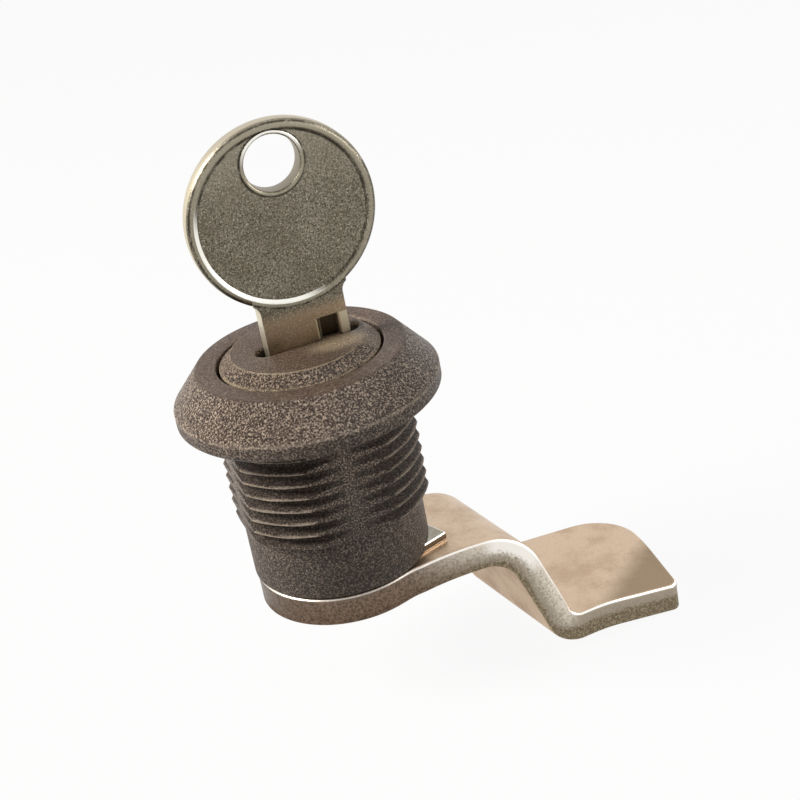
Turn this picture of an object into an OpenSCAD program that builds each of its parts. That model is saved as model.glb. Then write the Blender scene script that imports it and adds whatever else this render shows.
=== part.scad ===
// Key latch: a panel-mounted wafer lock that swings a joggled strike arm through a quarter turn.
// The origin is on the lock's axis at the underside of the flange, where the latch seats on its panel.
// +Z points out of the panel towards the key. +X runs along the strike arm and across the key's blade.

/* [Key] */
// Diameter of the round bow
bow_d = 20.2; // [17:0.1:25]
// Height of the bow's coined rim above the shank's faces
rim_rise = 0.15; // [0.08:0.01:0.3]
// Width of the bow's coined rim
rim_w = 0.8; // [0.7:0.05:1.2]
// Coined bevel round the bow and round the ring hole
bow_bevel = 0.3; // [0.1:0.05:0.4]
// Diameter of the hole for a key ring
ring_hole_d = 5.9; // [4:0.1:6.4]
// Height of the ring hole above the middle of the bow
ring_hole_rise = 5.7; // [5:0.1:6]
// Width of the coined collar round the ring hole
collar_w = 0.4; // [0.35:0.05:0.7]
// Width of the blade
blade_w = 9.1; // [8:0.1:11]
// Thickness of the blade
blade_t = 2.3; // [1.9:0.1:2.6]
// Free length of shank between the bow and the plug's face
shank_len = 4.2; // [3:0.1:9]
// Fillet between bow and shank
shank_fillet = 1.2; // [0.5:0.1:2.5]
// Distance of the milled groove from the middle of the blade
groove_offset = 2.3; // [2:0.1:2.6]
// Width of the milled groove
groove_w = 2.3; // [1.6:0.1:2.6]
// Depth of the milled groove
groove_depth = 0.8; // [0.5:0.05:1]
// Plain shank left between the bow and the square end of the groove
groove_start = 1.8; // [0.5:0.1:2.5]
// Length of the tapered tip past the last cut
tip_len = 1.7; // [1:0.1:3]
// Width of the blunt end of the tip
tip_w = 2.4; // [1.5:0.1:4]
// Depth of the first and shallowest cut in the blade
first_cut = 0.25; // [0.1:0.05:0.4]
// Extra depth of each cut over the one before it, towards the tip
cut_step = 0.2; // [0.12:0.02:0.26]
// Length of the level part of each cut
cut_flat = 1.5; // [1.2:0.1:1.7]

/* [Wafers] */
// Thickness of a wafer
wafer_t = 1; // [0.7:0.05:1.2]
// Width of a wafer
wafer_w = 6; // [5.4:0.1:6.6]
// Spacing of the wafers along the plug
wafer_pitch = 2.2; // [2.1:0.05:2.8]
// Depth of the first wafer below the plug's seat
first_wafer = 2.7; // [2:0.1:4]
// How far a wafer springs out of the plug when the key is drawn
wafer_travel = 0.8; // [0.5:0.05:1]
// Thickness of the wafer's ear, along its travel
ear_t = 1; // [0.7:0.05:1.3]
// Distance of the ear's back from the lock's axis
ear_x = 0.6; // [0.2:0.1:1]
// Length of the fitted spring
spring_len = 4.7; // [4:0.1:5]
// Outside diameter of the spring
spring_d = 1.5; // [1.2:0.05:1.6]
// Diameter of the spring's wire
wire_d = 0.26; // [0.2:0.02:0.34]
// Number of turns of the spring
spring_turns = 5; // [4:1:6]

/* [Plug] */
// Distance of the keyway's middle from the lock's axis
key_shift = 1.1; // [0.6:0.1:1.4]
// Wall of plug between the blade's nearer edge and the plug's surface
plug_wall = 1.55; // [1.4:0.05:2.2]
// Height of the plug's face above the flange
face_proud = 1.1; // [0.4:0.1:2]
// Width of the sloping border round the plug's face
face_border = 1.35; // [0.8:0.05:1.6]
// Upright step between the border and the plug's face
face_step = 0.2; // [0.1:0.05:0.4]
// Drop of the head's rim below the top of the flange
rim_drop = 0.15; // [0:0.05:0.5]
// Length of the keyway's mouth past each edge of the blade
mouth_end = 1.3; // [0.6:0.1:1.4]
// Width of the keyway's mouth past each face of the blade
mouth_side = 0.15; // [0.12:0.01:0.4]
// Depth of the keyway's mouth
mouth_sink = 1.5; // [0.8:0.1:2.2]
// Thickness of the O-ring's cord
seal_d = 1.1; // [0.8:0.05:1.3]
// Width across the square end that drives the arm
square_w = 8; // [7:0.1:9]
// Wall of plug between the keyway's floor and the screw hole
web = 1.1; // [0.5:0.1:2]

/* [Housing] */
// Height of the flange's upright rim
flange_rim_h = 1.75; // [1:0.05:3]
// Height of the flange's conical slope
flange_slope_h = 3.7; // [2.5:0.1:5]
// Width of the flange's conical slope
flange_slope_w = 3.1; // [2:0.1:5]
// Width of the level ring on top of the flange
flange_lip_w = 2.25; // [1.2:0.05:3]
// Chamfer on the flange's lower edge
flange_edge = 0.3; // [0.1:0.05:0.6]
// Width of the shoulder that the plug's head sits on
seat_w = 1.8; // [1.5:0.05:2.4]
// Depth of the mouth that takes the plug's head
mouth_depth = 3.95; // [3.4:0.05:4.6]
// Wall between a wafer groove and the flat outside it
flat_wall = 1.85; // [1:0.05:3]
// Height of the thread's crest above the flats
thread_h = 1; // [0.9:0.05:1.4]
// Depth of the thread
thread_depth = 0.8; // [0.5:0.05:0.85]
// Pitch of the thread
thread_pitch = 1.5; // [1.25:0.25:2]
// Height of the plain neck under the flange, which fits the panel's hole
neck_h = 0.8; // [0.5:0.1:1.5]
// Length of the neck and thread below the flange
thread_len = 12.9; // [9:0.1:15]
// Chamfer at the thread's lower end
thread_lead = 0.6; // [0.2:0.05:0.9]
// Step from the flats in to the plain lower end
tail_step = 0.1; // [0.05:0.05:0.4]
// Wall of the skirt round the stop washer
skirt_wall = 1.3; // [0.8:0.05:1.6]

/* [Strike arm] */
// Thickness of the arm
arm_t = 3.3; // [2.5:0.1:4]
// Diameter of the arm's round head
arm_head_d = 19.4; // [17:0.1:22]
// Distance from the lock's axis to the end of the arm
arm_reach = 36.6; // [34:0.1:45]
// Width of the arm at its waist
waist_w = 14.4; // [13:0.1:16]
// Shift of the waist towards the leading side
waist_shift = 0.7; // [0:0.1:1]
// Distance of the waist from the lock's axis
waist_x = 11.5; // [9:0.1:13]
// Radius of the concave waist
waist_r = 26; // [22:1:40]
// Distance from the lock's axis to the start of the upper bend, along the leading edge
bend_x = 14; // [13:0.1:15]
// Angle by which both bends lie askew across the arm
bend_skew = 9.5; // [0:0.5:11]
// Angle of the slope between the bends
bend_angle = 72; // [60:1:80]
// Inside radius of the upper bend
upper_bend_r = 2.7; // [1.5:0.1:3]
// Inside radius of the lower bend
lower_bend_r = 1.2; // [0.6:0.1:1.8]
// Drop from the head to the tip
joggle = 12.4; // [10:0.1:18]
// Width of the tip at the lower bend
tip_plate_w = 18.8; // [17:0.1:21]
// Angle by which each side of the tip runs in towards the end
tip_taper = 5; // [2:0.5:8]
// Radius of the trailing corner of the tip
trailing_r = 6.4; // [4:0.1:7]
// Radius of the leading corner of the tip
leading_r = 1.4; // [1:0.1:3]
// Distance of the lead-in crease from the end of the arm, along the leading edge
crease_back = 10.1; // [8:0.1:11]
// Angle of the lead-in crease to the arm
crease_angle = 42; // [36:1:55]
// Angle by which the leading corner is bent down
lead_in = 18; // [8:1:20]

/* [Fasteners] */
// Thickness of the stop washer
stop_t = 1; // [0.8:0.05:1.6]
// Angle of the stop washer's corner from the arm
stop_angle = -24; // [-30:1:-10]
// Thickness of the toothed washer
lock_washer_t = 0.5; // [0.4:0.05:0.8]
// Outside diameter of the toothed washer
lock_washer_d = 10; // [8.5:0.1:11]
// Number of teeth of the toothed washer
lock_teeth = 10; // [8:1:14]
// Thread diameter of the screw
screw_d = 5; // [4:0.5:6]
// Length of the screw under its head
screw_len = 6.4; // [6:0.1:8]
// Diameter of the screw's domed head
screw_head_d = 9.5; // [8:0.1:11]
// Height of the screw's domed head
screw_head_h = 2.6; // [2:0.1:3.2]
// Width across the screw's hexagon socket
socket_w = 3; // [2.5:0.1:4]

/* [Clearances] */
// Running gap between the plug and its bore
running_gap = 0.05; // [0.03:0.01:0.1]
// Gap between the plug's head and the mouth
head_gap = 0.35; // [0.2:0.05:0.5]
// Gap between the plug's head and its shoulder
seat_gap = 0.1; // [0.05:0.01:0.2]
// Gap between the blade and the keyway
key_gap = 0.1; // [0.06:0.01:0.2]
// Gap between a wafer and its slot
wafer_gap = 0.05; // [0.03:0.01:0.1]
// Gap between a wafer and the cut that holds it
cut_gap = 0.08; // [0.06:0.01:0.12]
// Gap between a sprung-out wafer and the floor of its groove
groove_gap = 0.2; // [0.1:0.05:0.4]
// Gap at a square, a screw or a washer
fit_gap = 0.05; // [0.03:0.01:0.15]
// Gap between the housing and what turns under it
under_gap = 0.2; // [0.1:0.05:0.4]
// Gap between the stop washer's corner and each of its stops
stop_gap = 0.1; // [0.05:0.01:0.18]

/* [Hidden] */
$fn = 96;
cut = 0.5;
wafer_count = 6;

// Radii, from the key outwards
barrel_r = blade_w / 2 + key_shift + plug_wall;
bore_r = barrel_r + running_gap;
mouth_r = bore_r + seat_w;
head_r = mouth_r - head_gap;
flange_top_r = mouth_r + flange_lip_w;
flange_r = flange_top_r + flange_slope_w;
wafer_r = barrel_r - wafer_gap;
groove_floor = wafer_r + wafer_travel + groove_gap;
flat_r = groove_floor + flat_wall;
thread_r = flat_r + thread_h;
tail_r = flat_r - tail_step;
recess_r = tail_r - skirt_wall;
stop_r = recess_r - under_gap;

// Heights, from the flange down through the wafers to the screw
flange_h = flange_rim_h + flange_slope_h;
face_z = flange_h + face_proud;
seat_z = flange_h - mouth_depth;
head_z = seat_z + seat_gap;
last_wafer_z = wafer_z(wafer_count);
blade_tip_z = last_wafer_z - wafer_pitch / 2 - tip_len;
keyway_end = blade_tip_z - key_gap;
screw_tip_gap = 0.75;
screw_tip_z = keyway_end - web - screw_tip_gap;
screw_seat_z = screw_tip_z - screw_len;
arm_bottom = screw_seat_z + lock_washer_t;
arm_top = arm_bottom + arm_t;
barrel_end = arm_top + stop_t;
body_bottom = arm_top + under_gap;
recess_top = barrel_end + under_gap;
spigot_end = arm_bottom + under_gap;
bow_z = face_z + shank_len + bow_d / 2;

// Key, plug and wafer details
bow_t = blade_t + 2 * rim_rise;
slot_half_t = blade_t / 2 + key_gap;
face_r = head_r - face_border;
seal_mid_r = mouth_r - running_gap - seal_d / 2;
seal_mid_z = (head_z + flange_h - rim_drop) / 2;
slot_t = wafer_t + 2 * wafer_gap;
slot_w = wafer_w + 2 * wafer_gap;
groove_width = wafer_w + 2 * groove_gap;
window_w = blade_t + 4 * key_gap;
pocket_d = spring_d + 4 * key_gap;
pocket_web = 0.3;
spring_y = wafer_w / 2 + pocket_web + pocket_d / 2;
ear_reach = spring_y + spring_d / 2;
pocket_floor = ear_x - spring_len - 2 * fit_gap;

// Strike arm: bend centres and the ends of the slope
upper_r = upper_bend_r + arm_t;
lower_r = lower_bend_r + arm_t;
tip_top = arm_top - joggle;
slope_len = (joggle - (upper_r + lower_bend_r) * (1 - cos(bend_angle))) / sin(bend_angle);
lower_bend_x = bend_x + (upper_r + lower_bend_r) * sin(bend_angle) + slope_len * cos(bend_angle);
upper_centre = [bend_x, arm_top - upper_r];
lower_centre = [lower_bend_x, tip_top + lower_bend_r];

function wafer_z(i) = seat_z - first_wafer - (i - 1) * wafer_pitch;
function wafer_side(i) = i % 2 == 1 ? 0 : 180;
function cut_half(i) = blade_w / 2 - first_cut - (i - 1) * cut_step;
function arc(centre, r, from, to, steps = 18) =
    [for (k = [0 : steps]) let (a = from + (to - from) * k / steps) centre + r * [cos(a), sin(a)]];
function tip_half(x) = tip_plate_w / 2 - (x - lower_bend_x) * tan(tip_taper);

// Housing: moulded body with a conical flange, four flats across the thread and a plain lower end
module housing() {
    color("#544a43")
    difference() {
        union() {
            flange();
            threaded_body();
            translate([0, 0, body_bottom])
                cylinder(r = tail_r, h = -body_bottom);
        }
        translate([0, 0, seat_z])
            cylinder(r = mouth_r, h = flange_h);
        translate([0, 0, body_bottom - cut])
            cylinder(r = bore_r, h = flange_h - body_bottom + cut);
        wafer_grooves();
        stop_recess();
    }
}

module flange() {
    rotate_extrude()
        polygon([
            [0, 0],
            [flange_r - flange_edge, 0],
            [flange_r, flange_edge],
            [flange_r, flange_rim_h],
            [flange_top_r, flange_h],
            [0, flange_h]
        ]);
}

// The neck and thread, cut by the four flats that stop the latch turning in its panel
module threaded_body() {
    intersection() {
        rotate_extrude()
        intersection() {
            thread_envelope();
            thread_ridges();
        }
        translate([-flat_r, -flat_r, -thread_len])
            cube([2 * flat_r, 2 * flat_r, thread_len]);
    }
}

module thread_envelope() {
    polygon([
        [0, -thread_len],
        [thread_r - thread_lead, -thread_len],
        [thread_r, thread_lead - thread_len],
        [thread_r, 0],
        [0, 0]
    ]);
}

// The plain neck, then one ring for each turn: a narrow crest with flanks that stand 60 degrees apart
module thread_ridges() {
    turns = ceil((thread_len - neck_h) / thread_pitch);
    crest = thread_pitch / 16;
    flank = thread_depth * tan(30);
    foot = crest + flank;
    root_r = thread_r - thread_depth;
    bottom = -neck_h - thread_pitch * (turns + 1);
    neck = [[0, 0], [thread_r, 0], [thread_r, -neck_h], [root_r, -neck_h - flank]];
    rings = [
        for (k = [1 : turns])
            let (middle = -neck_h - thread_pitch * k)
            each [
                [root_r, middle + foot],
                [thread_r, middle + crest],
                [thread_r, middle - crest],
                [root_r, middle - foot]
            ]
    ];
    polygon(concat(neck, rings, [[root_r, bottom], [0, bottom]]));
}

// Two crossing channels let the wafers spring out at both ends of the quarter turn
module wafer_grooves() {
    groove_top = wafer_z(1) + slot_t / 2 + groove_gap;
    for (turn = [0, 90])
        rotate(turn)
        translate([-groove_floor, -groove_width / 2, body_bottom - cut])
            cube([2 * groove_floor, groove_width, groove_top - body_bottom + cut]);
}

// Room for the stop washer, with a window in the skirt that lets its corner swing a quarter turn
module stop_recess() {
    side = stop_r + stop_gap;
    depth = recess_top - body_bottom + cut;
    translate([0, 0, body_bottom - cut]) {
        cylinder(r = recess_r, h = depth);
        rotate(stop_angle - 45)
        translate([-side, 0, 0])
            cube([2 * side, 2 * tail_r, depth]);
    }
}

// Plug: head with a raised face, barrel with keyway and wafer slots, square end for the arm
module plug() {
    color("#463e38")
    difference() {
        union() {
            plug_body();
            translate([-square_w / 2, -square_w / 2, spigot_end])
                cube([square_w, square_w, barrel_end - spigot_end + cut]);
        }
        seal_groove();
        keyway();
        for (i = [1 : wafer_count])
            translate([0, 0, wafer_z(i)])
            rotate(wafer_side(i))
                wafer_slot();
        translate([0, 0, spigot_end - cut])
            cylinder(r = screw_d / 2, h = keyway_end - web - spigot_end + cut);
    }
}

module plug_body() {
    rotate_extrude()
        polygon([
            [0, barrel_end],
            [barrel_r, barrel_end],
            [barrel_r, head_z],
            [head_r, head_z],
            [head_r, flange_h - rim_drop],
            [face_r, face_z - face_step],
            [face_r, face_z],
            [0, face_z]
        ]);
}

module seal_groove() {
    floor_r = seal_mid_r - seal_d / 2 - fit_gap;
    width = seal_d + 2 * fit_gap;
    rotate_extrude()
    translate([floor_r, seal_mid_z - width / 2])
        square([head_r - floor_r + cut, width]);
}

// Keyway with the ward that runs in the key's milled groove, and its wider mouth in the face
module keyway() {
    translate([key_shift, 0, keyway_end])
    linear_extrude(face_z - keyway_end + cut)
    difference() {
        square([blade_w + 2 * key_gap, 2 * slot_half_t], center = true);
        ward();
    }
    translate([key_shift, 0, face_z - mouth_sink])
    linear_extrude(mouth_sink + cut)
    difference() {
        keyway_mouth();
        ward();
    }
}

module ward() {
    ward_w = groove_w - 2 * key_gap;
    translate([groove_offset - ward_w / 2, -slot_half_t - cut])
        square([ward_w, groove_depth + cut]);
}

module keyway_mouth() {
    end_r = blade_t / 2 + mouth_side;
    end_x = blade_w / 2 + mouth_end - end_r;
    square([2 * end_x, 2 * end_r], center = true);
    for (side = [-1, 1])
        translate([side * end_x, 0])
            circle(r = end_r);
}

// Slot right across the barrel, with a channel for the wafer's ear and a round pocket for its spring
module wafer_slot() {
    translate([-2 * barrel_r, -slot_w / 2, -slot_t / 2])
        cube([4 * barrel_r, slot_w, slot_t]);
    translate([pocket_floor, 0, -slot_t / 2])
        cube([2 * barrel_r, ear_reach + wafer_gap, slot_t]);
    translate([pocket_floor, spring_y, 0])
    rotate([0, 90, 0])
        cylinder(r = pocket_d / 2, h = 2 * barrel_r);
}

// O-ring that seals the plug's head in the mouth and gives the turn its drag
module plug_seal() {
    color("#262423")
    translate([0, 0, seal_mid_z])
    rotate_extrude()
    translate([seal_mid_r, 0])
        circle(r = seal_d / 2, $fn = 32);
}

// Key: coined bow with a raised rim, shank, and a blade cut in steps along both edges
module key() {
    color("#8e8a7c")
    translate([key_shift, 0, 0])
    difference() {
        union() {
            translate([0, 0, bow_z])
                bow();
            translate([0, 0, bow_z + ring_hole_rise])
            rotate([90, 0, 0])
                cylinder(r = ring_hole_d / 2 + collar_w, h = bow_t, center = true);
            rotate([90, 0, 0])
            linear_extrude(blade_t, center = true)
                blank_outline();
        }
        translate([0, 0, bow_z + ring_hole_rise])
            ring_hole();
        groove_top = face_z + shank_len - groove_start;
        translate([groove_offset - groove_w / 2, -blade_t / 2 - cut, blade_tip_z - cut])
            cube([groove_w, groove_depth + cut, groove_top - blade_tip_z + cut]);
    }
}

// Round bow whose faces are pressed level with the shank's, inside a rim with a sloping inner side
module bow() {
    outer = bow_d / 2;
    inner = outer - rim_w;
    rotate([90, 0, 0])
    rotate_extrude()
        polygon([
            [0, -blade_t / 2],
            [inner, -blade_t / 2],
            [inner + rim_rise, -bow_t / 2],
            [outer - bow_bevel, -bow_t / 2],
            [outer, bow_bevel - bow_t / 2],
            [outer, bow_t / 2 - bow_bevel],
            [outer - bow_bevel, bow_t / 2],
            [inner + rim_rise, bow_t / 2],
            [inner, blade_t / 2],
            [0, blade_t / 2]
        ]);
}

// Shank, blade and fillets as far as the middle of the bow's rim
module blank_outline() {
    difference() {
        union() {
            blade_outline();
            for (side = [0, 1])
                mirror([side, 0])
                    neck_fillet();
        }
        translate([0, bow_z])
            circle(r = (bow_d - rim_w) / 2);
    }
}

module ring_hole() {
    rotate([90, 0, 0]) {
        cylinder(r = ring_hole_d / 2, h = bow_t + 2 * cut, center = true);
        for (side = [0, 1])
            mirror([0, 0, side])
            translate([0, 0, bow_t / 2 - bow_bevel])
                cylinder(r1 = ring_hole_d / 2, r2 = ring_hole_d / 2 + bow_bevel + cut, h = bow_bevel + cut);
    }
}

// Half of the blade from the bow to the tip: each cut is level for a wafer, then ramps to the next
module blade_outline() {
    steps = [
        for (i = [1 : wafer_count])
            for (end = [1, -1])
                [cut_half(i), wafer_z(i) + end * cut_flat / 2]
    ];
    right = concat(
        [[blade_w / 2, bow_z], [blade_w / 2, wafer_z(1) + wafer_pitch / 2]],
        steps,
        [[cut_half(wafer_count), blade_tip_z + tip_len], [tip_w / 2, blade_tip_z]]
    );
    left = [for (k = [len(right) - 1 : -1 : 0]) [-right[k][0], right[k][1]]];
    polygon(concat(right, left));
}

// Web between the bow's circle and the shank's edge, hollowed by the fillet
module neck_fillet() {
    middle = [0, bow_z];
    fillet_x = blade_w / 2 + shank_fillet;
    reach = bow_d / 2 + shank_fillet;
    centre = [fillet_x, bow_z - sqrt(reach * reach - fillet_x * fillet_x)];
    on_bow = centre + (middle - centre) * shank_fillet / reach;
    on_shank = [blade_w / 2, centre[1]];
    difference() {
        polygon([middle, on_bow, centre, on_shank]);
        translate(centre)
            circle(r = shank_fillet);
    }
}

// Wafer: brass plate with round ends, a window for the blade and an ear for its spring
module wafer(i) {
    window_start = key_shift * cos(wafer_side(i)) - cut_half(i) - cut_gap;
    window_l = 2 * cut_half(i) + cut_gap + 2 * key_gap;
    color("#b08d45")
    translate([0, 0, wafer_z(i)])
    rotate(wafer_side(i))
    linear_extrude(wafer_t, center = true)
    difference() {
        union() {
            intersection() {
                circle(r = wafer_r);
                square([2 * barrel_r, wafer_w], center = true);
            }
            translate([ear_x, 0])
                square([ear_t, ear_reach]);
        }
        translate([window_start, -window_w / 2])
            square([window_l, window_w]);
    }
}

// Spring: round wire wound along the wafer's travel, between the pocket's floor and the ear
module wafer_spring(i) {
    sides = 6;
    rings = spring_turns * 10;
    coil_r = (spring_d - wire_d) / 2;
    start_x = pocket_floor + fit_gap + wire_d / 2;
    climb = spring_len - wire_d;
    points = [
        for (k = [0 : rings])
            for (s = [0 : sides - 1])
                let (
                    turn = 360 * spring_turns * k / rings,
                    round = 360 * s / sides,
                    out = coil_r + wire_d / 2 * cos(round)
                )
                [
                    start_x + climb * k / rings + wire_d / 2 * sin(round),
                    spring_y + out * cos(turn),
                    out * sin(turn)
                ]
    ];
    skin = [
        for (k = [0 : rings - 1])
            for (s = [0 : sides - 1])
                let (
                    a = k * sides + s,
                    b = k * sides + (s + 1) % sides
                )
                each [[a, b, b + sides], [a, b + sides, a + sides]]
    ];
    first_end = [for (s = [0 : sides - 1]) sides - 1 - s];
    last_end = [for (s = [0 : sides - 1]) rings * sides + s];
    color("#b9b9b4")
    translate([0, 0, wafer_z(i)])
    rotate(wafer_side(i))
        polyhedron(points, concat(skin, [first_end, last_end]));
}

// Stop washer: stamped disc on the plug's square, whose one corner meets a stop at each end of the turn
module stop_washer() {
    color("#c2bfb6")
    translate([0, 0, arm_top])
    linear_extrude(stop_t)
    difference() {
        union() {
            circle(r = stop_r);
            rotate(stop_angle - 45)
                square(stop_r);
        }
        square(square_w + 2 * fit_gap, center = true);
    }
}

// Strike arm: thick plated strip, waisted behind its round head, joggled down to a wide tip
module cam() {
    pivot = [arm_reach - crease_back, -tip_half(arm_reach - crease_back), tip_top];
    color("#b39c89")
    difference() {
        union() {
            difference() {
                arm_blank();
                leading_corner_side(pivot);
            }
            translate(pivot)
            rotate(crease_angle)
            rotate([lead_in, 0, 0])
            rotate(-crease_angle)
            translate(-pivot)
            intersection() {
                arm_blank();
                leading_corner_side(pivot);
            }
        }
        translate([0, 0, arm_bottom - cut])
        linear_extrude(arm_t + 2 * cut)
            square(square_w + 2 * fit_gap, center = true);
    }
}

// Everything on the leading side of the crease
module leading_corner_side(pivot) {
    translate([pivot[0], pivot[1], tip_top - 2 * arm_t])
    rotate(crease_angle)
    translate([-arm_reach, -arm_reach, 0])
        cube([3 * arm_reach, arm_reach, 3 * arm_t]);
}

// The outline cut from the bent strip, whose bends turn askew about the leading edge
module arm_blank() {
    hinge = [bend_x, -waist_w / 2 - waist_shift];
    intersection() {
        translate(hinge)
        rotate(bend_skew)
        translate(-hinge)
        rotate([90, 0, 0])
        linear_extrude(4 * arm_reach, center = true)
            arm_profile();
        translate([0, 0, tip_top - 2 * arm_t])
        linear_extrude(joggle + 4 * arm_t)
            arm_outline();
    }
}

// Side view of the bent strip: top face out to the tip, then the underside back
module arm_profile() {
    slope = 90 - bend_angle;
    polygon(concat(
        [[-arm_head_d, arm_top]],
        arc(upper_centre, upper_r, 90, slope),
        arc(lower_centre, lower_bend_r, 180 + slope, 270),
        [[2 * arm_reach, tip_top], [2 * arm_reach, tip_top - arm_t]],
        arc(lower_centre, lower_r, 270, 180 + slope),
        arc(upper_centre, upper_bend_r, slope, 90),
        [[-arm_head_d, arm_bottom]]
    ));
}

// Plan view: round head, concave waist, tip that tapers to one round and one tight corner
module arm_outline() {
    circle(r = arm_head_d / 2);
    difference() {
        translate([0, -tip_plate_w / 2])
            square([lower_bend_x, tip_plate_w]);
        for (side = [-1, 1])
            translate([waist_x, side * (waist_w / 2 + waist_r) - waist_shift])
                circle(r = waist_r, $fn = 240);
        head_corners();
    }
    tip_outline();
}

// What the plain strip would add beside the round head, short of where the waist's arc meets it
module head_corners() {
    difference() {
        translate([0, -arm_head_d])
            square([arm_head_d / 4, 2 * arm_head_d]);
        circle(r = arm_head_d / 2);
    }
}

module tip_outline() {
    near = tip_corner(leading_r);
    far = tip_corner(trailing_r);
    polygon([
        [lower_bend_x, -tip_plate_w / 2],
        [near[0] + leading_r * sin(tip_taper), -near[1] - leading_r * cos(tip_taper)],
        [near[0], -near[1]],
        [arm_reach, -near[1]],
        [arm_reach, far[1]],
        [far[0], far[1]],
        [far[0] + trailing_r * sin(tip_taper), far[1] + trailing_r * cos(tip_taper)],
        [lower_bend_x, tip_plate_w / 2]
    ]);
    translate([near[0], -near[1]])
        circle(r = leading_r);
    translate(far)
        circle(r = trailing_r);
}

// Middle of a corner arc that touches the tip's end and its tapered side
function tip_corner(r) = [arm_reach - r, tip_half(arm_reach - r) - r / cos(tip_taper)];

// Toothed washer under the screw's head
module lock_washer() {
    notch_depth = (lock_washer_d - screw_d) / 5;
    notch_w = lock_washer_d / lock_teeth;
    color("#a9a7a0")
    translate([0, 0, screw_seat_z])
    linear_extrude(lock_washer_t)
    difference() {
        circle(r = lock_washer_d / 2);
        circle(r = screw_d / 2 + fit_gap);
        for (k = [1 : lock_teeth])
            rotate(360 * k / lock_teeth)
            translate([lock_washer_d / 2 - notch_depth, -notch_w / 2])
                square([lock_washer_d, notch_w]);
    }
}

// Button-head screw from below, in the tapped hole of the plug's square end
module cam_screw() {
    dome_r = (screw_head_h * screw_head_h + screw_head_d * screw_head_d / 4) / (2 * screw_head_h);
    color("#a9a7a0")
    difference() {
        union() {
            translate([0, 0, screw_seat_z - screw_head_h])
            intersection() {
                translate([0, 0, dome_r])
                    sphere(r = dome_r);
                cylinder(r = screw_head_d / 2, h = screw_head_h);
            }
            translate([0, 0, screw_seat_z - cut])
                cylinder(r = screw_d / 2 - fit_gap, h = screw_len + cut);
        }
        translate([0, 0, screw_seat_z - screw_head_h - cut])
            cylinder(r = socket_w / sqrt(3), h = screw_head_h * 0.6 + cut, $fn = 6);
    }
}

housing();
plug();
plug_seal();
key();
stop_washer();
cam();
lock_washer();
cam_screw();
for (i = [1 : wafer_count]) {
    wafer(i);
    wafer_spring(i);
}
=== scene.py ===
import math

import bmesh
import bpy
from mathutils import Matrix, Vector


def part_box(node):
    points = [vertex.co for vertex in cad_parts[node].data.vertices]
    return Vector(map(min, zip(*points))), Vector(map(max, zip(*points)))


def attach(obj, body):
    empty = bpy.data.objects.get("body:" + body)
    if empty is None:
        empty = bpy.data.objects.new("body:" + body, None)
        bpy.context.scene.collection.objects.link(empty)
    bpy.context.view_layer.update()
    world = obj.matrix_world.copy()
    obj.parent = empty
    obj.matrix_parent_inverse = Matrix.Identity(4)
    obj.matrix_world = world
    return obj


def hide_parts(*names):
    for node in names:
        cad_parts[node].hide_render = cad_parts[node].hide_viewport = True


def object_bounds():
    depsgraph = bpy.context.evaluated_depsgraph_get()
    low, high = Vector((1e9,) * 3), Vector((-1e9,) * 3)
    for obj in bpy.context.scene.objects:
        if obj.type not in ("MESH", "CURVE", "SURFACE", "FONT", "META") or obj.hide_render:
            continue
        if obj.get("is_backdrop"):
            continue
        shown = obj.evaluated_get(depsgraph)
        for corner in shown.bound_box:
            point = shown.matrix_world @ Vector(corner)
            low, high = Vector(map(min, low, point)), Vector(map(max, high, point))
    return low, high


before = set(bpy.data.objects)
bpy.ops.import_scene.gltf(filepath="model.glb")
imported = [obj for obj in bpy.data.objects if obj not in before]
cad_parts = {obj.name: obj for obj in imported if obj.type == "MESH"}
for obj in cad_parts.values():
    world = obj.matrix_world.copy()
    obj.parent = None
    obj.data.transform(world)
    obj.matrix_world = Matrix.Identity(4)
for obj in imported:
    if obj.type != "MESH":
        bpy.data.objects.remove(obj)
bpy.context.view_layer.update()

# Housing: one shot of dark nylon from a spark-eroded mould. The conical flange seats on the panel,
# four flats across the thread keep the latch from turning, and a plain skirt shields the stop washer.
mm = 0.001
housing_low, housing_high = (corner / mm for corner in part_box("housing"))
skirt_end = housing_low.z
flange_r = housing_high.x
flange_h = housing_high.z
flange_rim_h = 1.75
flange_slope_w = 3.1
flange_lip_w = 2.25
flange_edge = 0.3
flange_base_ease = 0.15
flange_edge_ease = 0.2
rim_ease = 0.28
lip_ease = 0.35
flange_top_r = flange_r - flange_slope_w
mouth_r = flange_top_r - flange_lip_w
mouth_ease = 0.22
mouth_depth = 3.95
seat_z = flange_h - mouth_depth
seat_w = 1.8
seat_ease = 0.1
bore_r = mouth_r - seat_w
bore_ease = 0.15
thread_r = 11.0
thread_root_r = 10.02
thread_len = 12.9
thread_pitch = 1.5
thread_lead = 0.6
crest_w = 0.04
flank_w = 0.33
crest_pale_from = 0.9
neck_h = 0.8
neck_runout = 0.4
flat_r = 10.0
skirt_r = 9.9
skirt_wall = 1.3
skirt_ease = 0.3
skirt_inner_ease = 0.12
stop_recess_r = skirt_r - skirt_wall
stop_recess_h = 1.0
stop_recess_top = skirt_end + stop_recess_h
stop_r = 8.4
stop_gap = 0.1
stop_angle = math.radians(-24)
wafer_groove_reach = 8.15
wafer_groove_w = 6.4
wafer_groove_top = -0.45
crest_at_front = math.radians(-136)
first_crest_z = -1.95
housing_steps = 400
thread_rows = 128
overrun = 1.0
near = 0.01
weld = 0.002


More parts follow.
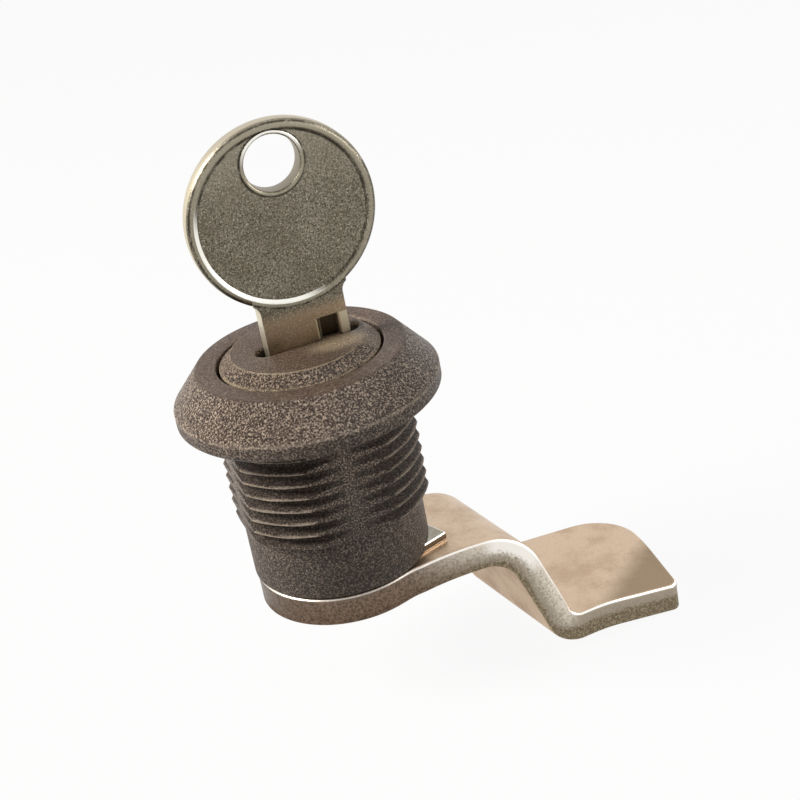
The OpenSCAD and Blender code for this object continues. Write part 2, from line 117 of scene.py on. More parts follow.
def rounded_outline(corners, steps=5):
    """Points round a closed outline, each of whose corners (x, y, radius) is eased by an arc."""
    points = []
    for k, (x, y, radius) in enumerate(corners):
        corner = Vector((x, y))
        before = (Vector(corners[k - 1][:2]) - corner).normalized()
        after = (Vector(corners[(k + 1) % len(corners)][:2]) - corner).normalized()
        if radius == 0:
            points.append(corner)
            continue
        half_angle = before.angle(after) / 2
        middle = corner + (before + after).normalized() * radius / math.sin(half_angle)
        first = corner + before * radius / math.tan(half_angle) - middle
        last = corner + after * radius / math.tan(half_angle) - middle
        sweep = first.angle_signed(last)
        for step in range(steps + 1):
            turn = Matrix.Rotation(-sweep * step / steps, 2)
            points.append(middle + turn @ first)
    return points


def only(piece):
    """Makes a piece the whole selection."""
    bpy.ops.object.select_all(action="DESELECT")
    bpy.context.view_layer.objects.active = piece
    piece.select_set(True)


def outline_piece(name, points, filled):
    """A circle with one vertex for each point, pulled to that outline."""
    bpy.ops.object.select_all(action="DESELECT")
    bpy.ops.mesh.primitive_circle_add(vertices=len(points), fill_type="NGON" if filled else "NOTHING")
    piece = bpy.context.object
    piece.name = piece.data.name = name
    for vertex, point in zip(piece.data.vertices, points):
        vertex.co = Vector(point) * mm
    return piece


def edit(piece):
    """Opens a piece for editing, with all of it selected."""
    only(piece)
    bpy.ops.object.mode_set(mode="EDIT")
    bpy.ops.mesh.select_mode(type="EDGE")
    bpy.ops.mesh.select_all(action="SELECT")


def done():
    """Closes the piece that is being edited."""
    bpy.ops.object.mode_set(mode="OBJECT")


def select_edges(piece, wanted):
    """Selects only the edges of the edited piece for which wanted holds."""
    bpy.ops.mesh.select_mode(type="EDGE")
    bpy.ops.mesh.select_all(action="DESELECT")
    shape = bmesh.from_edit_mesh(piece.data)
    for edge in shape.edges:
        if wanted(edge):
            edge.select_set(True)
    bmesh.update_edit_mesh(piece.data)


def block(size, place, turn=0.0):
    """A plain box to cut or join with, turned about the lock's axis."""
    bpy.ops.object.select_all(action="DESELECT")
    bpy.ops.mesh.primitive_cube_add(size=1)
    box = bpy.context.object
    box.matrix_world = (
        Matrix.Rotation(turn, 4, "Z")
        @ Matrix.Translation(Vector(place) * mm)
        @ Matrix.Diagonal((*[length * mm for length in size], 1))
    )
    return box


def combine(piece, other, operation):
    """Cuts the other solid out of a piece, or joins it on, and removes it."""
    only(piece)
    modifier = piece.modifiers.new(operation.lower(), "BOOLEAN")
    modifier.operation = operation
    modifier.solver = "EXACT"
    modifier.object = other
    bpy.ops.object.modifier_apply(modifier=modifier.name)
    bpy.data.objects.remove(other, do_unlink=True)


def smooth(piece, degrees=35):
    """Smooth shading, with edges sharper than the angle kept crisp."""
    only(piece)
    bpy.ops.object.shade_smooth_by_angle(angle=math.radians(degrees))


def share_between(value, low, high):
    """How far a value has gone from low to high, kept between 0 and 1."""
    return min(1, max(0, (value - low) / (high - low)))


housing_outline = rounded_outline([
    (bore_r, stop_recess_top, 0),
    (stop_recess_r, stop_recess_top, 0),
    (stop_recess_r, skirt_end, skirt_inner_ease),
    (skirt_r, skirt_end, skirt_ease),
    (skirt_r, -thread_len, 0),
    (thread_r, -thread_len, 0),
    (thread_r, 0, 0),
    (flange_r - flange_edge, 0, flange_base_ease),
    (flange_r, flange_edge, flange_edge_ease),
    (flange_r, flange_rim_h, rim_ease),
    (flange_top_r, flange_h, lip_ease),
    (mouth_r, flange_h, mouth_ease),
    (mouth_r, seat_z, seat_ease),
    (bore_r, seat_z, bore_ease),
])
housing = outline_piece("housing_moulding", [(r, 0, z) for r, z in housing_outline], filled=False)
edit(housing)
bpy.ops.mesh.spin(steps=housing_steps, angle=2 * math.pi, center=(0, 0, 0), axis=(0, 0, 1))
bpy.ops.mesh.select_all(action="SELECT")
bpy.ops.mesh.remove_doubles(threshold=weld * mm)
bpy.ops.mesh.normals_make_consistent(inside=False)
done()
groove_depth = wafer_groove_top - skirt_end + overrun
for turn in (0, math.pi / 2):
    groove = block(
        (2 * wafer_groove_reach, wafer_groove_w, groove_depth),
        (0, 0, wafer_groove_top - groove_depth / 2),
        turn,
    )
    combine(housing, groove, "DIFFERENCE")
window_h = stop_recess_top - skirt_end + overrun
window = block(
    (2 * (stop_r + stop_gap), 2 * skirt_r, window_h),
    (0, skirt_r, stop_recess_top - window_h / 2),
    stop_angle - math.pi / 4,
)
combine(housing, window, "DIFFERENCE")


def on_thread(vertex):
    """Whether a vertex lies on the plain band that the thread is cut in."""
    off_band = math.hypot(vertex.co.x, vertex.co.y) - thread_r * mm
    return abs(off_band) < near * mm and vertex.co.z < near * mm


def thread_height(angle, z):
    """Height of the thread's form, from 0 at its root to 1 at its crest and on the plain neck."""
    crest_z = first_crest_z + thread_pitch * (angle - crest_at_front) / (2 * math.pi)
    phase = (z - crest_z) / thread_pitch
    off_crest = abs(phase - round(phase))
    on_neck = share_between(z, -neck_h - neck_runout, -neck_h)
    return max(share_between(off_crest, flank_w, crest_w), on_neck)


edit(housing)
select_edges(
    housing,
    lambda edge: all(on_thread(v) for v in edge.verts) and edge.calc_length() > thread_len * mm / 2,
)
bpy.ops.mesh.subdivide(number_cuts=thread_rows)
done()
# Kept on the points for the material: the crest, for a pale line that is partly rubbing and partly painted
# highlight, and the depth down the groove, for painted shade
thread_finish = {name: [0.0] * len(housing.data.vertices) for name in ("crest", "groove")}
for vertex in housing.data.vertices:
    if on_thread(vertex):
        angle = math.atan2(vertex.co.y, vertex.co.x)
        z = vertex.co.z / mm
        height = thread_height(angle, z)
        threaded = thread_root_r + (thread_r - thread_root_r) * height
        lead = thread_r - thread_lead + (z + thread_len)
        off_flat = (angle + math.pi / 4) % (math.pi / 2) - math.pi / 4
        radius = min(threaded, lead, flat_r / math.cos(off_flat))
        vertex.co.x = radius * mm * math.cos(angle)
        vertex.co.y = radius * mm * math.sin(angle)
        if radius == threaded and z < -neck_h:
            thread_finish["crest"][vertex.index] = share_between(height, crest_pale_from, 1)
            thread_finish["groove"][vertex.index] = 1 - height


def paint_points(piece, finish):
    """Stores named values on a piece's points, for its material to read."""
    for name, values in finish.items():
        piece.data.attributes.new(name, "FLOAT", "POINT").data.foreach_set("value", values)


paint_points(housing, thread_finish)
smooth(housing)


def tone(code):
    """Linear colour of a hex code."""
    parts = [int(code[k:k + 2], 16) / 255 for k in (1, 3, 5)]
    return (*[c / 12.92 if c <= 0.04045 else ((c + 0.055) / 1.055) ** 2.4 for c in parts], 1)


def add_node(tree, kind, values=None, **settings):
    """A shader node with its settings and input values."""
    node = tree.nodes.new("ShaderNode" + kind)
    for name, value in settings.items():
        setattr(node, name, value)
    for name, value in (values or {}).items():
        node.inputs[name].default_value = value
    return node


def feed(tree, socket, value):
    """Gives a socket another node's output, or a plain value."""
    if isinstance(value, bpy.types.NodeSocket):
        tree.links.new(value, socket)
    else:
        socket.default_value = value


def ramp(tree, source, low, high):
    """A mask that rises from 0 to 1 as the source goes from low to high."""
    node = add_node(tree, "MapRange", interpolation_type="SMOOTHSTEP")
    for name, value in (("Value", source), ("From Min", low), ("From Max", high)):
        feed(tree, node.inputs[name], value)
    return node.outputs["Result"]


def reckon(tree, operation, *values):
    """One sum on masks and numbers."""
    node = add_node(tree, "Math", operation=operation)
    for socket, value in zip(node.inputs, values):
        feed(tree, socket, value)
    return node.outputs["Value"]


def both(tree, *masks):
    """Several masks or shares multiplied together."""
    total = masks[0]
    for mask in masks[1:]:
        total = reckon(tree, "MULTIPLY", total, mask)
    return total


def either(tree, *masks):
    """The highest of several masks."""
    total = masks[0]
    for mask in masks[1:]:
        total = reckon(tree, "MAXIMUM", total, mask)
    return total


def length_of(tree, vector, counted):
    """Length of a vector in the directions that are counted with 1."""
    kept = add_node(tree, "VectorMath", operation="MULTIPLY")
    feed(tree, kept.inputs[0], vector)
    feed(tree, kept.inputs[1], counted)
    size = add_node(tree, "VectorMath", operation="LENGTH")
    tree.links.new(kept.outputs["Vector"], size.inputs[0])
    return size.outputs["Value"]


def surface_place(tree):
    """The point of the piece that is being shaded, whole and as X, Y and Z."""
    place = add_node(tree, "TexCoord").outputs["Object"]
    split = add_node(tree, "SeparateXYZ")
    tree.links.new(place, split.inputs["Vector"])
    return place, split.outputs


def paint_over(tree, under, colour, mask):
    """Lays a colour over another where the mask is 1."""
    node = add_node(tree, "Mix", data_type="RGBA")
    for socket, value in ((node.inputs["Factor"], mask), (node.inputs[6], under), (node.inputs[7], colour)):
        feed(tree, socket, value)
    return node.outputs[2]


def coat(tree, colour, layers):
    """Lays tones over a colour in turn, each by its hex code, its mask and the share of it that covers."""
    for code, mask, share in layers:
        colour = paint_over(tree, colour, tone(code), both(tree, mask, share))
    return colour


def new_effect(name, inputs, outputs):
    """A node group for an effect, with its open ends."""
    group = bpy.data.node_groups.new(name, "ShaderNodeTree")
    for label, value in inputs.items():
        socket = group.interface.new_socket(label, in_out="INPUT", socket_type="NodeSocketFloat")
        socket.default_value = value
    for label in outputs:
        group.interface.new_socket(label, in_out="OUTPUT", socket_type="NodeSocketFloat")
    return group, group.nodes.new("NodeGroupInput").outputs, group.nodes.new("NodeGroupOutput").inputs


def place_effect(tree, group, values):
    """One use of an effect in a material, with its own values."""
    node = tree.nodes.new("ShaderNodeGroup")
    node.node_tree = group
    for name, value in values.items():
        node.inputs[name].default_value = value
    return node.outputs


def new_material(name):
    """An empty material with its shader."""
    material = bpy.data.materials.new(name)
    material.use_nodes = True
    return material, material.node_tree, material.node_tree.nodes["Principled BSDF"]


def roughen(tree, shader, height, distance, strength):
    """Bumps the surface by a height, in millimetres at full strength."""
    bump = add_node(tree, "Bump", {"Distance": distance * mm, "Strength": strength})
    tree.links.new(height, bump.inputs["Height"])
    tree.links.new(bump.outputs["Normal"], shader.inputs["Normal"])


def noise(tree, place, scale, detail=3.0, roughness=0.6):
    """Cloudy noise over a piece, by its own coordinates."""
    texture = add_node(tree, "TexNoise", {"Detail": detail, "Roughness": roughness})
    feed(tree, texture.inputs["Vector"], place)
    feed(tree, texture.inputs["Scale"], scale)
    return texture.outputs["Fac"]


# The grain that a spark-eroded mould leaves: rounded tips and pits of about a fifth of a millimetre
spark_grain, given, result = new_effect("spark_grain", {"Grain": 3400.0}, ["Height", "Tip", "Pit", "Cloud"])
place, _ = surface_place(spark_grain)
grain = noise(spark_grain, place, given["Grain"], 4.0, 0.72)
cloud = noise(spark_grain, place, 130.0, 4.0)
for name, value in (
    ("Height", grain),
    ("Tip", ramp(spark_grain, grain, 0.48, 0.63)),
    ("Pit", ramp(spark_grain, grain, 0.5, 0.37)),
    ("Cloud", ramp(spark_grain, cloud, 0.35, 0.65)),
):
    spark_grain.links.new(value, result[name])

# Handling rubs a round edge in patches: a band along the circle of one radius at one height
rubbed_ring, given, result = new_effect(
    "rubbed_ring", {"Radius": 0.01, "Height": 0.0, "Width": 0.0003}, ["Mask"]
)
place, axes = surface_place(rubbed_ring)
off_ring = add_node(rubbed_ring, "CombineXYZ")
reach = length_of(rubbed_ring, place, (1, 1, 0))
rubbed_ring.links.new(reckon(rubbed_ring, "SUBTRACT", reach, given["Radius"]), off_ring.inputs["X"])
rubbed_ring.links.new(reckon(rubbed_ring, "SUBTRACT", axes["Z"], given["Height"]), off_ring.inputs["Y"])
band = ramp(rubbed_ring, length_of(rubbed_ring, off_ring.outputs["Vector"], (1, 1, 1)), given["Width"], 0.0)
patchy = ramp(rubbed_ring, noise(rubbed_ring, place, 900.0, 4.0), 0.3, 0.62)
rubbed_ring.links.new(both(rubbed_ring, band, patchy), result["Mask"])


def rings_rubbed(tree, rings):
    """Mask of several rubbed edges, each given by its radius, height and width."""
    masks = [
        place_effect(tree, rubbed_ring, {"Radius": r * mm, "Height": z * mm, "Width": width * mm})["Mask"]
        for r, z, width in rings
    ]
    return either(tree, *masks)


def painted_on(tree, name):
    """The value that each point of a mesh carries under a name."""
    return add_node(tree, "Attribute", attribute_name=name).outputs["Fac"]


def moulded_plastic(name, pit, body, tip, worn_and_lit, grain, depth, calm_z, calmed, rubbed, shaded):
    """Spark-textured plastic: dark pits and pale tips, pale rubbed edges and painted highlights, and painted
    shade, its grain calmed above one height.
    """
    material, tree, shader = new_material(name)
    texture = place_effect(tree, spark_grain, {"Grain": grain})
    _, axes = surface_place(tree)
    calm = both(tree, ramp(tree, axes["Z"], (calm_z - 0.2) * mm, calm_z * mm), calmed)
    rough = reckon(tree, "SUBTRACT", 1.0, calm)
    colour = coat(tree, tone(body), (
        (pit, texture["Cloud"], 0.3),
        (pit, texture["Pit"], rough),
        (tip, texture["Tip"], rough),
        # Painted shade in the pit colour, then pale rubbed edges with painted highlights
        (pit, shaded(tree), 0.97),
        (worn_and_lit, rubbed(tree), 0.55),
    ))
    tree.links.new(colour, shader.inputs["Base Color"])
    gloss = reckon(tree, "MULTIPLY_ADD", texture["Cloud"], -0.14, 0.5)
    tree.links.new(gloss, shader.inputs["Roughness"])
    shader.inputs["Specular IOR Level"].default_value = 0.25
    roughen(tree, shader, both(tree, texture["Height"], rough), depth, 0.9)
    return material


def within(tree, source, low, high, soft):
    """A mask that is 1 while the source lies between low and high, in millimetres."""
    rises = ramp(tree, source, (low - soft) * mm, low * mm)
    falls = ramp(tree, source, (high + soft) * mm, high * mm)
    return both(tree, rises, falls)


def housing_wear_and_highlight(tree):
    """Where the housing is pale: rubbed round the flange's rim and mouth, and a thin line on the thread's
    crest that is partly rubbed and partly painted highlight.
    """
    edges = rings_rubbed(tree, [
        (flange_r - 0.05, flange_rim_h, 0.3),
        (mouth_r + 0.05, flange_h - 0.05, 0.2),
    ])
    return either(tree, both(tree, edges, 0.6), painted_on(tree, "crest"))


def housing_painted_shade(tree):
    """Painted shade on the housing: round the rim, down the barrel, and most in the thread's groove."""
    _, axes = surface_place(tree)
    rim = both(tree, within(tree, axes["Z"], 0, flange_rim_h - 0.3, 0.2), 0.44)
    barrel = both(tree, ramp(tree, axes["Z"], 0.0, skirt_end * mm), 0.64)
    groove = both(tree, ramp(tree, painted_on(tree, "groove"), 0.04, 0.3), 0.74)
    return either(tree, rim, barrel, groove)


housing.data.materials.append(moulded_plastic(
    "moulded_black", pit="#231a13", body="#503f35", tip="#c6b39f", worn_and_lit="#c8b7a4", grain=4700, depth=0.3,
    calm_z=flange_h - 0.02, calmed=0.72, rubbed=housing_wear_and_highlight, shaded=housing_painted_shade,
))
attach(housing, "housing")
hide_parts("housing")

# Plug: moulded cylinder that the key turns. Its raised face carries the keyway, slots across the
# barrel hold the wafers, and the square end below drives the stop washer and the arm.
plug_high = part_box("plug")[1] / mm
head_r = plug_high.x
head_drop = 0.15
head_rim_z = flange_h - head_drop
head_slope_w = 1.35
face_r = head_r - head_slope_w
face_z = plug_high.z
plug_ease = 0.12
rim_reach = 0.05
# Place and size of a painted highlight on the plug's face, beside the keyway
highlight_patch_x = 3.9
highlight_patch_y = -3.2
highlight_patch_r = 2.4
highlight_patch_oval = (0.5, 1, 0)
fine_weld = 0.001
flat_angle = math.radians(0.5)
sharp_angle = math.radians(28)


def copy_of_node(name, node):
    """A merged copy of a solid, ready to have its edges eased."""
    piece = bpy.data.objects.new(name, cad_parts[node].data.copy())
    bpy.context.collection.objects.link(piece)
    piece.data.materials.clear()
    edit(piece)
    bpy.ops.mesh.remove_doubles(threshold=fine_weld * mm)
    bpy.ops.mesh.dissolve_limited(angle_limit=flat_angle)
    done()
    return piece


def ease_edges(piece, width, segments, where=lambda place: True):
    """Rounds the sharp edges of a piece, or those that lie where asked."""
    edit(piece)
    select_edges(
        piece,
        lambda edge: edge.calc_face_angle(0) > sharp_angle and all(where(v.co / mm) for v in edge.verts),
    )
    bpy.ops.mesh.bevel(offset=width * mm, segments=segments, affect="EDGES", clamp_overlap=False)
    done()


def on_plug_rim(place):
    """Whether a point of the plug is on its face or on the outer edge of its head."""
    at_edge = math.hypot(place.x, place.y) > head_r - 2 * rim_reach
    on_head_edge = abs(place.z - head_rim_z) < rim_reach and at_edge
    return place.z > face_z - rim_reach or on_head_edge


def distance_to(tree, place, point, counted):
    """Distance of the shaded point from a point in millimetres, in the directions that are counted."""
    off = add_node(tree, "VectorMath", operation="SUBTRACT")
    feed(tree, off.inputs[0], place)
    feed(tree, off.inputs[1], Vector(point) * mm)
    return length_of(tree, off.outputs["Vector"], counted)


def plug_wear_and_highlight(tree):
    """Where the plug is pale: rubbed round its face and the edge of its head, and a painted highlight on the
    face beside the keyway.
    """
    edges = rings_rubbed(tree, [(face_r, face_z, 0.2), (head_r, head_rim_z, 0.25)])
    place, _ = surface_place(tree)
    off_patch = distance_to(tree, place, (highlight_patch_x, highlight_patch_y, face_z), highlight_patch_oval)
    highlight_patch = ramp(tree, off_patch, highlight_patch_r * mm, 0.5 * mm)
    sandy = ramp(tree, noise(tree, place, 4600.0), 0.3, 0.62)
    return either(tree, edges, both(tree, highlight_patch, sandy))


def plug_painted_shade(tree):
    """Painted shade on the plug: down in the mouth of its keyway."""
    place, axes = surface_place(tree)
    inside = ramp(tree, length_of(tree, place, (1, 1, 0)), (face_r - 0.2) * mm, (face_r - 0.5) * mm)
    return both(tree, inside, ramp(tree, axes["Z"], (face_z - 0.15) * mm, (face_z - 0.6) * mm))


plug = copy_of_node("plug_moulding", "plug")
ease_edges(plug, plug_ease, 3, on_plug_rim)
smooth(plug)
plug.data.materials.append(moulded_plastic(
    "plug_black", pit="#241b14", body="#46372d", tip="#bfaa93", worn_and_lit="#c8b493", grain=4900, depth=0.26,
    calm_z=face_z - 0.02, calmed=0.66, rubbed=plug_wear_and_highlight, shaded=plug_painted_shade,
))
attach(plug, "plug")
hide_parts("plug")

# Seal: nitrile O-ring in the groove round the plug's head. It keeps dust out of the mouth and gives
# the turn its drag. It is moulded to size and stretched over the head before the plug goes in.
rubber, tree, shader = new_material("seal_rubber")
texture = place_effect(tree, spark_grain, {"Grain": 6000})
colour = paint_over(tree, tone("#1d1b1a"), tone("#37332f"), texture["Cloud"])
tree.links.new(colour, shader.inputs["Base Color"])
shader.inputs["Roughness"].default_value = 0.7
roughen(tree, shader, texture["Height"], 0.02, 0.4)
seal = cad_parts["plug_seal"]
seal.data.materials.clear()
seal.data.materials.append(rubber)

# Wafers and springs: brass plates blanked to one window width, each pushed out by a coil of spring
# wire in the plug's pocket. The key's steps draw all six level with the barrel.

# What use leaves on metal: fine crossing scratches, bright specks and slow stains
handled_metal, given, result = new_effect(
    "handled_metal", {"Scratch": 260.0, "Speck": 4200.0}, ["Scratches", "Specks", "Stain", "Height"]
)
place, _ = surface_place(handled_metal)
lines = []
for turn, stretch in (((0.3, 0.5, 0.9), (1, 9, 1)), ((1.1, -0.4, -0.5), (11, 1, 1))):
    mapping = add_node(handled_metal, "Mapping", {"Rotation": turn, "Scale": stretch})
    handled_metal.links.new(place, mapping.inputs["Vector"])
    line = noise(handled_metal, mapping.outputs["Vector"], given["Scratch"], 5.0, 0.7)
    off_middle = reckon(handled_metal, "ABSOLUTE", reckon(handled_metal, "SUBTRACT", line, 0.5))
    lines.append(ramp(handled_metal, off_middle, 0.009, 0.0))
speck = noise(handled_metal, place, given["Speck"], 2.0, 0.55)
stain = noise(handled_metal, place, 190.0, 5.0, 0.62)
for name, value in (
    ("Scratches", either(handled_metal, *lines)),
    ("Specks", ramp(handled_metal, speck, 0.55, 0.72)),
    ("Stain", ramp(handled_metal, stain, 0.36, 0.66)),
    ("Height", speck),
):
    handled_metal.links.new(value, result[name])

# Handling rubs every convex edge of a stamping a little, in patches
edge_wear, given, result = new_effect("edge_wear", {"Start": 0.53, "Full": 0.62, "Patch": 500.0}, ["Mask"])
bend = add_node(edge_wear, "NewGeometry").outputs["Pointiness"]
place, _ = surface_place(edge_wear)
rubbed = ramp(edge_wear, bend, given["Start"], given["Full"])
patchy = ramp(edge_wear, noise(edge_wear, place, given["Patch"]), 0.25, 0.65)
edge_wear.links.new(both(edge_wear, rubbed, patchy), result["Mask"])


def finish_metal(tree, shader, colour, gloss, height, depth, strength):
    """Joins a metal's colour, roughness and fine relief to its shader."""
    tree.links.new(colour, shader.inputs["Base Color"])
    tree.links.new(gloss, shader.inputs["Roughness"])
    shader.inputs["Metallic"].default_value = 1.0
    roughen(tree, shader, height, depth, strength)


def worked_metal(name, body, stained, bright, rough=0.35):
    """Plain metal as it comes from the press: stains, specks, scratches and bright edges."""
    material, tree, shader = new_material(name)
    marks = place_effect(tree, handled_metal, {})
    wear = place_effect(tree, edge_wear, {})
    colour = coat(tree, tone(body), (
        (stained, marks["Stain"], 1.0),
        (bright, marks["Specks"], 0.5),
        (bright, marks["Scratches"], 0.3),
        (bright, wear["Mask"], 0.8),
    ))
    gloss = reckon(tree, "MULTIPLY_ADD", marks["Stain"], 0.22, rough - 0.08)
    finish_metal(tree, shader, colour, gloss, marks["Height"], 0.012, 0.5)
    return material


wafer_brass = worked_metal("wafer_brass", "#b8934a", "#8a6c33", "#e0c27a")
spring_steel = worked_metal("spring_steel", "#a9a8a3", "#7f7e79", "#dddcd6")
for i in range(1, 7):
    for node, metal in ((f"wafer_{i}", wafer_brass), (f"wafer_spring_{i}", spring_steel)):
        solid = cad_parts[node]
        solid.data.materials.clear()
        solid.data.materials.append(metal)

# Key: blank stamped from nickel-plated strip. Coining leaves a raised rim round the bow and round
# the ring hole; the blade is milled with one groove and stepped along both edges.
key_low, key_high = (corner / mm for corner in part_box("key"))
key_x = (key_low.x + key_high.x) / 2
bow_r = (key_high.x - key_low.x) / 2
bow_z = key_high.z - bow_r
blade_t = 2.3
bow_proud = 0.06
bow_t = blade_t + bow_proud
coin_depth = 0.24
bow_edge = 0.75
rim_w = 1.12
coin_slope = 0.32
ring_hole_r = 2.95
ring_hole_up = 5.7
ring_hole_z = bow_z + ring_hole_up
collar_drop = 0.04
collar_w = 0.5
collar_slope = 0.22
hole_edge = 0.38
blade_w = 9.1
shank_fillet = 1.2
groove_middle = 2.3
groove_w = 2.3
groove_deep = 0.8
groove_slope = 0.45
groove_start = 1.8
groove_top = bow_z - bow_r - groove_start
tip_len = 1.7
tip_w = 2.4
first_cut = 0.25
cut_step = 0.2
cut_flat = 1.5
wafer_count = 6
wafer_pitch = 2.2
first_wafer_deep = 2.7
first_wafer_z = seat_z - first_wafer_deep
blade_lap = 3.0
blade_gap = 0.03
key_ease = 0.07
bow_steps = 192
hole_steps = 96
fillet_steps = 8
square_edge = math.radians(60)
soft_edge = math.radians(32)
square_on = 0.99


def disc(radius, thickness, z, vertices):
    """A round slug across the key's thickness."""
    bpy.ops.object.select_all(action="DESELECT")
    bpy.ops.mesh.primitive_cylinder_add(
        vertices=vertices, radius=radius * mm, depth=thickness * mm,
        location=(0, 0, z * mm), rotation=(math.pi / 2, 0, 0),
    )
    bpy.ops.object.transform_apply(location=True, rotation=True, scale=True)
    return bpy.context.object


def select_faces(piece, wanted):
    """Selects only the faces of the edited piece for which wanted holds."""
    bpy.ops.mesh.select_mode(type="FACE")
    bpy.ops.mesh.select_all(action="DESELECT")
    shape = bmesh.from_edit_mesh(piece.data)
    for face in shape.faces:
        face.select_set(wanted(face))
    shape.select_flush_mode()
    bmesh.update_edit_mesh(piece.data)


key = disc(bow_r, bow_t, bow_z, bow_steps)
key.name = key.data.name = "key_stamped"
ease_edges(key, bow_edge, 4)
edit(key)
for side in (-1, 1):
    select_faces(key, lambda face: face.normal.y * side > square_on)
    bpy.ops.mesh.inset(thickness=(rim_w - bow_edge - coin_slope) * mm)
    bpy.ops.mesh.inset(thickness=coin_slope * mm, depth=-coin_depth * mm)
done()
collar = disc(ring_hole_r + collar_w, bow_t - collar_drop, ring_hole_z, hole_steps)
ease_edges(collar, collar_slope, 3)
combine(key, collar, "UNION")

blade_top = bow_z - bow_r + blade_lap
neck_x = blade_w / 2 + shank_fillet
neck_z = bow_z - math.sqrt((bow_r + shank_fillet) ** 2 - neck_x ** 2)
neck_top = neck_z + shank_fillet * (bow_z - neck_z) / (bow_r + shank_fillet)
blade_steps = [
    (neck_x - math.sqrt(shank_fillet ** 2 - (z - neck_z) ** 2), z)
    for z in (neck_top + (neck_z - neck_top) * k / fillet_steps for k in range(fillet_steps + 1))
]
blade_steps.append((blade_w / 2, first_wafer_z + wafer_pitch / 2))
for i in range(wafer_count):
    half = blade_w / 2 - first_cut - i * cut_step
    level = first_wafer_z - i * wafer_pitch
    blade_steps += [(half, level + cut_flat / 2), (half, level - cut_flat / 2)]
blade_steps += [(half, level - wafer_pitch / 2), (tip_w / 2, level - wafer_pitch / 2 - tip_len)]
half, level = blade_steps[0]
blade = block((2 * half, blade_t, blade_top - level), (0, 0, (blade_top + level) / 2))
only(blade)
bpy.ops.object.transform_apply(location=True, rotation=True, scale=True)
edit(blade)
select_faces(blade, lambda face: face.normal.z < -square_on)
for next_half, next_level in blade_steps[1:]:
    bpy.ops.mesh.extrude_region_move(TRANSFORM_OT_translate={"value": (0, 0, (next_level - level) * mm)})
    bpy.ops.transform.resize(value=(next_half / half, 1, 1), center_override=(0, 0, next_level * mm))
    half, level = next_half, next_level
done()
combine(blade, disc(bow_r - bow_edge - blade_gap, 2 * bow_t, bow_z, bow_steps), "DIFFERENCE")
combine(key, blade, "UNION")
groove_left = groove_middle - groove_w / 2
groove_right = groove_middle + groove_w / 2
groove_floor = groove_deep - blade_t / 2
groove_profile = [
    (groove_left, -bow_t),
    (groove_right, -bow_t),
    (groove_right, groove_floor),
    (groove_left + groove_slope, groove_floor),
    (groove_left, -blade_t / 2),
]
groove = outline_piece("groove_cutter", [(x, y, level - overrun) for x, y in groove_profile], filled=True)
edit(groove)
groove_len = groove_top - level + overrun
bpy.ops.mesh.extrude_region_move(TRANSFORM_OT_translate={"value": (0, 0, groove_len * mm)})
bpy.ops.mesh.select_all(action="SELECT")
bpy.ops.mesh.normals_make_consistent(inside=False)
done()
combine(key, groove, "DIFFERENCE")
combine(key, disc(ring_hole_r, bow_t + overrun, ring_hole_z, hole_steps), "DIFFERENCE")


def on_hole_edge(edge):
    """Whether an edge runs round the mouth of the ring hole."""
    reach = [math.hypot(v.co.x, v.co.z - ring_hole_z * mm) for v in edge.verts]
    sharp = edge.calc_face_angle(0) > square_edge
    return sharp and all(abs(r - ring_hole_r * mm) < 2 * near * mm for r in reach)


edit(key)
bpy.ops.mesh.remove_doubles(threshold=weld * mm)
bpy.ops.mesh.dissolve_limited(angle_limit=flat_angle)
select_edges(key, on_hole_edge)
bpy.ops.mesh.bevel(offset=hole_edge * mm, segments=5, affect="EDGES", clamp_overlap=False)
bpy.ops.mesh.select_all(action="SELECT")
bpy.ops.transform.translate(value=(key_x * mm, 0, 0))
done()
softened = key.modifiers.new("softened", "BEVEL")
softened.width = key_ease * mm
softened.segments = 2
softened.limit_method = "ANGLE"
softened.angle_limit = soft_edge
only(key)
bpy.ops.object.modifier_apply(modifier=softened.name)
smooth(key, 40)


def flatten_faces(piece):
    """Keeps the shading of large faces flat up to their rounded edges."""
    flattened = piece.modifiers.new("flattened", "WEIGHTED_NORMAL")
    flattened.keep_sharp = True
    flattened.weight = 100
    only(piece)
    bpy.ops.object.modifier_apply(modifier=flattened.name)


flatten_faces(key)


def surface_facing(tree):
    """The direction that the shaded point of the piece faces, as X, Y and Z."""
    split = add_node(tree, "SeparateXYZ")
    tree.links.new(add_node(tree, "TexCoord").outputs["Normal"], split.inputs["Vector"])
    return split.outputs


nickel, tree, shader = new_material("key_nickel")
marks = place_effect(tree, handled_metal, {"Scratch": 420.0, "Speck": 5200.0})
place, axes = surface_place(tree)
from_bow = distance_to(tree, place, (key_x, 0, bow_z), (1, 0, 1))
from_hole = distance_to(tree, place, (key_x, 0, ring_hole_z), (1, 0, 1))
mottle = noise(tree, place, 5600.0, 4.0, 0.75)
rim_inner = bow_r - rim_w
collar_r = ring_hole_r + collar_w
turned = surface_facing(tree)
sheared = ramp(tree, reckon(tree, "ABSOLUTE", turned["Y"]), 0.45, 0.2)

